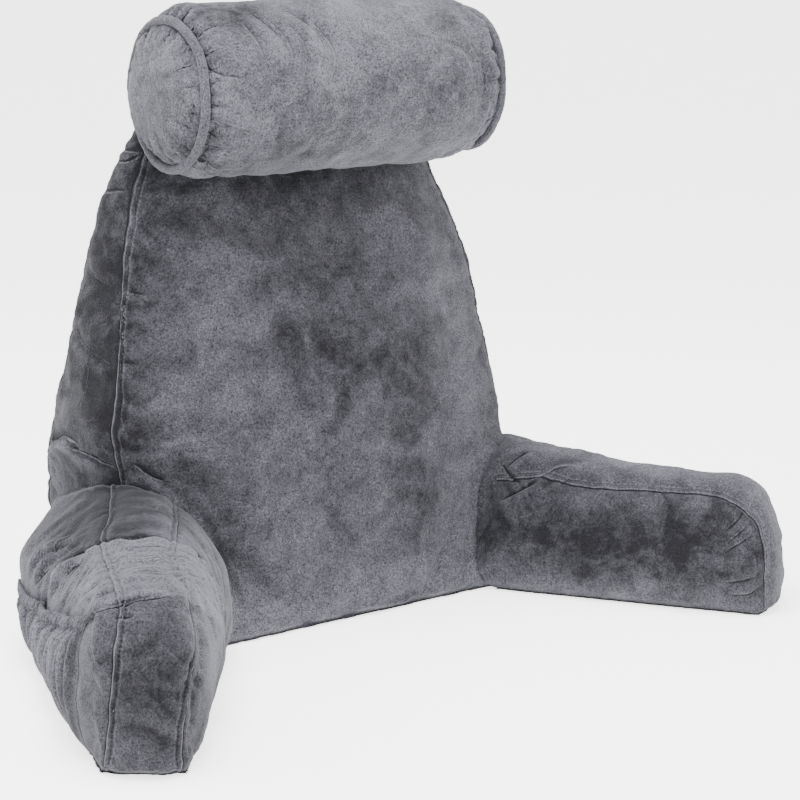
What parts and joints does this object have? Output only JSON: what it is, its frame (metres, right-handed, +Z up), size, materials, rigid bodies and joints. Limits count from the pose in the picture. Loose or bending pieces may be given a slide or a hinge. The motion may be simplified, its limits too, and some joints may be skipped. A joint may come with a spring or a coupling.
{
  "type": "reading pillow with arms",
  "caption": "Upright backrest cushion in grey plush with splayed arm cushions, a bolster neck roll with corded ends and a gathered side pocket.",
  "frame": {"origin": "middle of the object's box, on the plane it stands on", "axes": "+Z up, -Y the way the pillow faces, +X across it"},
  "size_m": [0.91, 0.5824, 0.691],
  "materials": {
    "cover": "short velour pile",
    "trim": "short velour pile over cord or elastic"
  },
  "bodies": {
    "root": {"back_cushion": "cover", "arm_left": "cover", "arm_right": "cover", "neck_roll": "cover", "neck_roll_piping_left": "trim", "neck_roll_piping_right": "trim", "arm_pocket": "cover", "pocket_elastic": "trim"}
  },
  "joints": []
}
